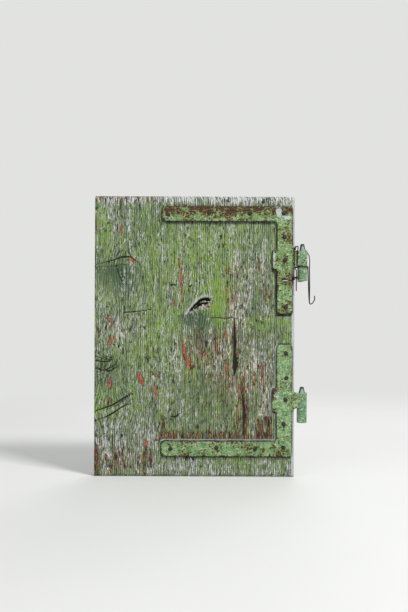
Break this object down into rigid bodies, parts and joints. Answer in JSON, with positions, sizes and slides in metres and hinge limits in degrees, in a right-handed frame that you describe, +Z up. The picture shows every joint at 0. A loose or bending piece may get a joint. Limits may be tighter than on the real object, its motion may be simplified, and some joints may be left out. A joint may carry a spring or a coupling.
{
  "type": "window shutter leaf",
  "caption": "Small wooden window shutter leaf with painted angle strap hinges, nailed on and hung on wall pintles, with battens and a hook inside.",
  "frame": {"origin": "where the lower pintle's tail enters the face of the wall, at the middle of the tail's section", "axes": "+X to the right seen from outside, +Y into the wall, +Z up; the wall's face is the plane y = 0"},
  "size_m": [0.4444, 0.1148, 0.56],
  "materials": {
    "painted_wood": "flaking oil paint on weathered softwood",
    "batten_wood": "thin old paint on weathered softwood",
    "painted_iron": "chipped paint with rust spots",
    "nail_iron": "forged, rusted",
    "pintle_iron": "chipped paint, rusted tail",
    "pin_iron": "worn paint on dark iron",
    "rusty_wire": "rusted",
    "dark_wire": "dark oxide with some rust",
    "hook_iron": "forged, rusted"
  },
  "bodies": {
    "wall_pintles": {"upper_pintle_strap": "pintle_iron", "upper_pintle_pin": "pin_iron", "lower_pintle_strap": "pintle_iron", "lower_pintle_pin": "pin_iron", "pintle_tie_wire": "dark_wire"},
    "leaf": {"leaf_board": "painted_wood", "upper_batten": "batten_wood", "lower_batten": "batten_wood", "batten_nails": "nail_iron", "upper_angle_hinge": "painted_iron", "lower_angle_hinge": "painted_iron", "upper_hinge_nails": "nail_iron", "lower_hinge_nails": "nail_iron", "neck_tie_wire": "rusty_wire", "hook_staple": "hook_iron"},
    "hook": {"inside_hook": "hook_iron"}
  },
  "joints": [
    {"name": "leaf_swing", "type": "hinge", "parent": "wall_pintles", "child": "leaf", "pos_m": [-0.00802, -0.01892, 0.0153], "axis": [0, 0, 1], "range_deg": [0, 180]},
    {"name": "hook_swing", "type": "hinge", "parent": "leaf", "child": "hook", "pos_m": [-0.36402, 0.015, 0.1773], "axis": [1, 0, 0], "range_deg": [-5, 170]}
  ]
}
